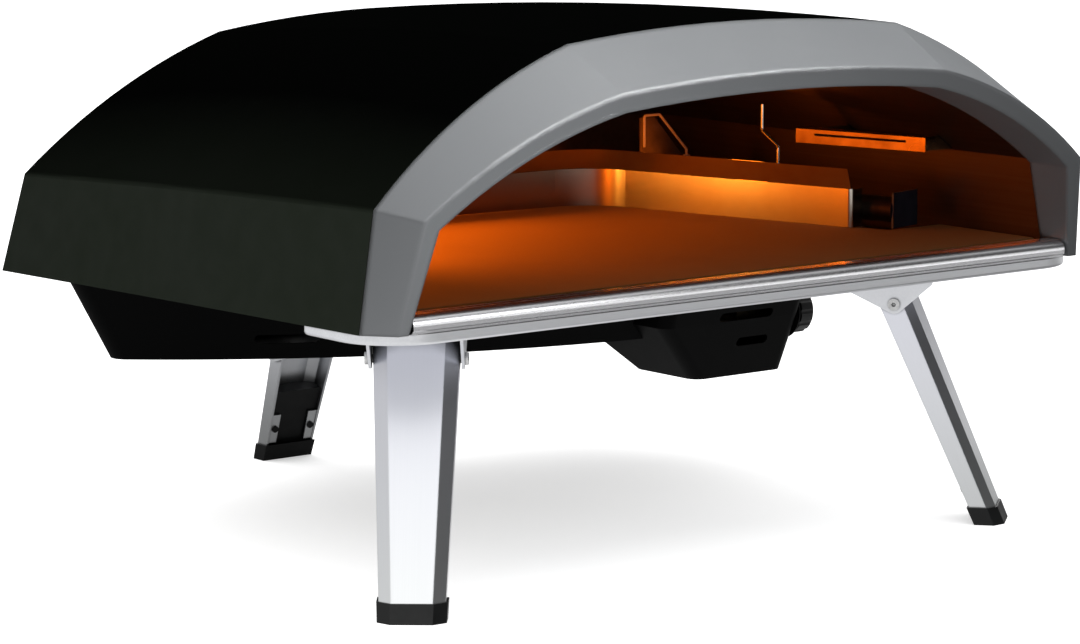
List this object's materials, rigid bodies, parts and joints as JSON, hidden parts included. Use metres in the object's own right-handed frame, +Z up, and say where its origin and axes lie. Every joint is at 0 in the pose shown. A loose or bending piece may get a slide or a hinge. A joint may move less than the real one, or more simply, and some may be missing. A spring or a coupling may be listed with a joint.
{
  "type": "portable pizza oven",
  "caption": "Low arched gas pizza oven with a wide mouth, an L-shaped burner beside the stone, a gas housing below and folding legs.",
  "frame": {"origin": "centre of the footprint's box, on the ground plane under the feet", "axes": "+X to the right seen from in front of the mouth, +Y towards the back, +Z up; millimetre source, metre row"},
  "size_m": [0.63, 0.601, 0.3737],
  "materials": {
    "arch_grey": "satin metallic grey",
    "bezel_steel": "brushed",
    "bracket_steel": "satin",
    "brass": "turned",
    "burner_steel": "heat tinted",
    "ceramic": "glazed",
    "foot_plastic": "moulded",
    "guard_steel": "heat tinted",
    "housing_black": "fine textured powder coat",
    "inner_steel": "plain",
    "knob_plastic": "satin",
    "lead_rubber": "matte",
    "leg_aluminium": "brushed",
    "liner_steel": "heat tinted",
    "lip_steel": "brushed",
    "pan_steel": "plain",
    "pipe_aluminium": "drawn",
    "plate_steel": "brushed",
    "screw_steel": "polished",
    "shell_black": "fine textured powder coat",
    "stone": "matte fired cordierite",
    "tray_steel": "brushed",
    "unit_plastic": "moulded",
    "wool": "ceramic fibre blanket"
  },
  "bodies": {
    "oven": {"baking_stone": "stone", "burner_end_caps": "burner_steel", "burner_housing": "housing_black", "burner_posts": "burner_steel", "burner_tube": "burner_steel", "electrode_bracket": "guard_steel", "flame_guard": "guard_steel", "flame_probe": "screw_steel", "floor_pan": "pan_steel", "front_arch": "arch_grey", "front_left_bracket": "bracket_steel", "front_left_hinge_bolt": "screw_steel", "front_lip": "lip_steel", "front_right_bracket": "bracket_steel", "front_right_hinge_bolt": "screw_steel", "front_seam_band": "inner_steel", "front_tray": "tray_steel", "gas_inlet": "brass", "gas_jet": "brass", "gas_pipe": "pipe_aluminium", "gas_valve": "brass", "guard_lip": "guard_steel", "heat_rail": "guard_steel", "housing_screws": "screw_steel", "igniter_electrode": "ceramic", "insulation_blanket": "wool", "jet_elbow": "brass", "knob_bezel": "bezel_steel", "leg_mount_plates": "plate_steel", "liner": "liner_steel", "mixer_tube": "burner_steel", "outer_shell": "shell_black", "rear_bracket": "bracket_steel", "rear_cover": "shell_black", "rear_hinge_bolt": "screw_steel", "rear_seam_band": "inner_steel", "spark_lead": "lead_rubber", "spark_unit": "unit_plastic"},
    "front_left_leg_body": {"front_left_leg": "leg_aluminium", "front_left_foot_cap": "foot_plastic", "front_left_foot_screws": "screw_steel"},
    "front_right_leg_body": {"front_right_leg": "leg_aluminium", "front_right_foot_cap": "foot_plastic", "front_right_foot_screws": "screw_steel"},
    "rear_leg_body": {"rear_leg": "leg_aluminium", "rear_foot_cap": "foot_plastic", "rear_foot_screws": "screw_steel"},
    "stem_body": {"valve_stem": "screw_steel"},
    "knob_body": {"control_knob": "knob_plastic"}
  },
  "joints": [
    {"name": "front_left_fold", "type": "hinge", "parent": "oven", "child": "front_left_leg_body", "pos_m": [-0.2157, -0.17871, 0.1592], "axis": [0.7672, -0.6414, 0], "range_deg": [0, 112.6]},
    {"name": "front_right_fold", "type": "hinge", "parent": "oven", "child": "front_right_leg_body", "pos_m": [0.2157, -0.17871, 0.1592], "axis": [0.7672, 0.6414, 0], "range_deg": [0, 112.6]},
    {"name": "rear_fold", "type": "hinge", "parent": "oven", "child": "rear_leg_body", "pos_m": [0, 0.25909, 0.088], "axis": [-1, 0, 0], "range_deg": [0, 108]},
    {"name": "knob_turn", "type": "hinge", "parent": "oven", "child": "stem_body", "pos_m": [0.28, 0.03609, 0.117], "axis": [-1, 0, 0], "range_deg": [0, 140]},
    {"name": "knob_push", "type": "slide", "parent": "stem_body", "child": "knob_body", "axis": [-1, 0, 0], "range_m": [0, 0.0035], "stiffness_N_per_m": 600}
  ]
}
